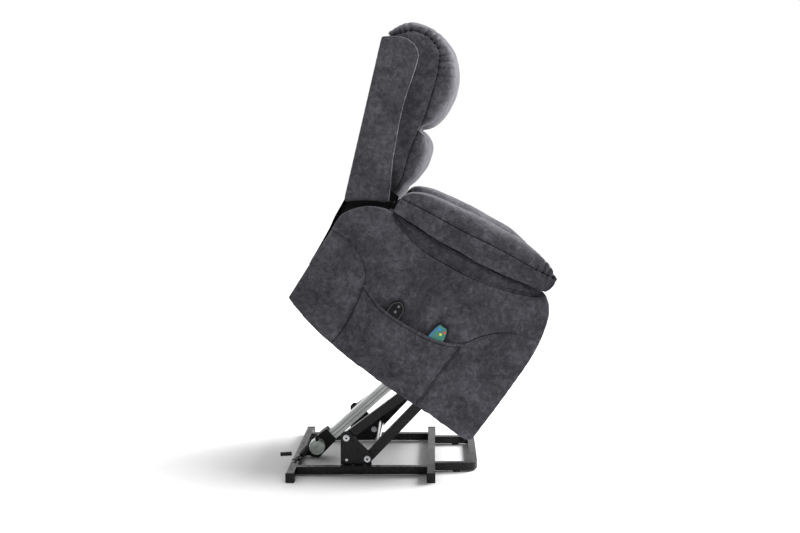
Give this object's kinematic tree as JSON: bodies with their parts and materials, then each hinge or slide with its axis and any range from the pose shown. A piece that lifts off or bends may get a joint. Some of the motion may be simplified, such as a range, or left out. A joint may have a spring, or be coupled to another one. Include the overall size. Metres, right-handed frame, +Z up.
{
  "type": "lift recliner chair",
  "caption": "Powered riser recliner raised on a four-bar steel base, with padded arms, pillow back, footrest and side pocket with hand controls.",
  "frame": {"origin": "centre of the bounding box at floor level, chair raised", "axes": "+X to the front of the chair, +Y to its left side, +Z up"},
  "size_m": [0.8973, 0.891, 1.4845],
  "materials": {
    "frame_paint": "satin black powder coat",
    "black_plastic": "moulded black plastic",
    "zinc_bolts": "zinc plated",
    "black_bolts": "black oxide",
    "bright_rod": "bright drawn steel",
    "track_alloy": "mill anodised",
    "upholstery": "mottled charcoal faux suede",
    "dust_cloth": "black non-woven cloth",
    "plywood": "birch plywood",
    "handset_gloss": "gloss black",
    "button_face": "black membrane",
    "blue_rubber": "silicone key",
    "red_rubber": "silicone key",
    "yellow_rubber": "silicone key"
  },
  "bodies": {
    "base": {"base_rails": "frame_paint", "rear_crossbar": "frame_paint", "front_crossbar": "frame_paint", "front_bow": "frame_paint", "base_feet": "black_plastic", "pivot_plate_right": "frame_paint", "pivot_plate_left": "frame_paint", "plate_bolts": "black_bolts", "base_pivot_bolts": "zinc_bolts", "actuator_clevis": "frame_paint", "lead_connector": "black_plastic", "cable_tie": "black_plastic", "motor_lead": "black_plastic", "coiled_lead": "black_plastic"},
    "lower_links": {"lower_link_right": "frame_paint", "lower_link_left": "frame_paint", "lower_cross_rod": "bright_rod"},
    "upper_links": {"upper_link_right": "frame_paint", "upper_link_left": "frame_paint", "upper_cross_tube": "frame_paint"},
    "actuator": {"gearbox_housing": "black_plastic", "motor_can": "zinc_bolts", "motor_end_cap": "zinc_bolts", "actuator_track": "track_alloy", "lead_screw": "zinc_bolts"},
    "carriage": {"carriage": "black_plastic"},
    "chair": {"lift_frame": "frame_paint", "body_pivot_bolts": "zinc_bolts", "drive_tube": "zinc_bolts", "seat_frame": "frame_paint", "seat_webbing": "dust_cloth", "seat_cushion": "upholstery", "arm_right": "upholstery", "arm_left": "upholstery", "arm_pad_right": "upholstery", "arm_pad_left": "upholstery", "side_pouch": "upholstery", "rear_dust_flap": "dust_cloth", "recline_brackets": "frame_paint"},
    "backrest": {"back_frame": "frame_paint", "back_outer_panel": "upholstery", "back_side_cloth": "dust_cloth", "back_wing_right": "upholstery", "back_wing_left": "upholstery", "head_pillow": "upholstery", "lumbar_cushion": "upholstery", "lower_back_cushion": "upholstery"},
    "footrest_rear": {"footrest_rear_links": "frame_paint"},
    "footrest_front": {"footrest_front_links": "frame_paint"},
    "footrest": {"footrest_brackets": "frame_paint", "footrest_board": "plywood", "footrest_pad": "upholstery"},
    "handset": {"handset": "handset_gloss", "handset_bezel": "handset_gloss"},
    "handset_up": {"handset_up_button": "button_face"},
    "handset_down": {"handset_down_button": "button_face"},
    "remote": {"massage_remote": "black_plastic"},
    "blue_key": {"remote_blue_key": "blue_rubber"},
    "red_key": {"remote_red_key": "red_rubber"},
    "yellow_key": {"remote_yellow_key": "yellow_rubber"}
  },
  "joints": [
    {"name": "lift", "type": "hinge", "parent": "base", "child": "lower_links", "pos_m": [-0.1655, 0, 0.0535], "axis": [0, 1, 0], "range_deg": [0, 43.43]},
    {"name": "upper_link_swing", "type": "hinge", "parent": "base", "child": "upper_links", "pos_m": [-0.234, 0, 0.124], "axis": [0, 1, 0], "range_deg": [0, 38.93]},
    {"name": "body_tilt", "type": "hinge", "parent": "lower_links", "child": "chair", "pos_m": [0.05484, 0, 0.28489], "axis": [0, 1, 0], "range_deg": [-76.44, 0]},
    {"name": "actuator_swing", "type": "hinge", "parent": "base", "child": "actuator", "pos_m": [-0.352, 0, 0.042], "axis": [0, 1, 0], "range_deg": [0, 22.19]},
    {"name": "carriage_slide", "type": "slide", "parent": "actuator", "child": "carriage", "axis": [0.7455, 0, 0.6665], "range_m": [-0.04657, 0]},
    {"name": "recline", "type": "hinge", "parent": "chair", "child": "backrest", "pos_m": [-0.18323, 0, 0.82454], "axis": [0, -1, 0], "range_deg": [0, 35]},
    {"name": "footrest_open", "type": "hinge", "parent": "chair", "child": "footrest_rear", "pos_m": [0.23331, 0, 0.41572], "axis": [0, -1, 0], "range_deg": [0, 95]},
    {"name": "footrest_front_link", "type": "hinge", "parent": "footrest_rear", "child": "footrest_front", "pos_m": [0.12765, 0, 0.25301], "axis": [0, -1, 0], "range_deg": [-154.28, 0]},
    {"name": "footrest_board_turn", "type": "hinge", "parent": "footrest_front", "child": "footrest", "pos_m": [0.26132, 0, 0.39276], "axis": [0, -1, 0], "range_deg": [0, 144.28]},
    {"name": "handset_lift_out", "type": "slide", "parent": "chair", "child": "handset", "axis": [0.5446, 0, 0.8387], "range_m": [0, 0.2]},
    {"name": "remote_lift_out", "type": "slide", "parent": "chair", "child": "remote", "axis": [0.5446, 0, 0.8387], "range_m": [0, 0.2]},
    {"name": "handset_up_press", "type": "slide", "parent": "handset", "child": "handset_up", "axis": [0, 1, 0], "range_m": [0, 0.0012], "stiffness_N_per_m": 400},
    {"name": "handset_down_press", "type": "slide", "parent": "handset", "child": "handset_down", "axis": [0, 1, 0], "range_m": [0, 0.0012], "stiffness_N_per_m": 400},
    {"name": "blue_key_press", "type": "slide", "parent": "remote", "child": "blue_key", "axis": [0, 1, 0], "range_m": [0, 0.001], "stiffness_N_per_m": 400},
    {"name": "red_key_press", "type": "slide", "parent": "remote", "child": "red_key", "axis": [0, 1, 0], "range_m": [0, 0.001], "stiffness_N_per_m": 400},
    {"name": "yellow_key_press", "type": "slide", "parent": "remote", "child": "yellow_key", "axis": [0, 1, 0], "range_m": [0, 0.001], "stiffness_N_per_m": 400}
  ],
  "couplings": [
    {"joint": "upper_link_swing", "follows": "lift", "ratio": 0.89627},
    {"joint": "body_tilt", "follows": "lift", "ratio": -1.7599},
    {"joint": "actuator_swing", "follows": "lift", "ratio": 0.51075},
    {"joint": "carriage_slide", "follows": "lift", "m_per_rad": -0.061436},
    {"joint": "footrest_front_link", "follows": "footrest_open", "ratio": -1.6239},
    {"joint": "footrest_board_turn", "follows": "footrest_open", "ratio": 1.5186}
  ]
}
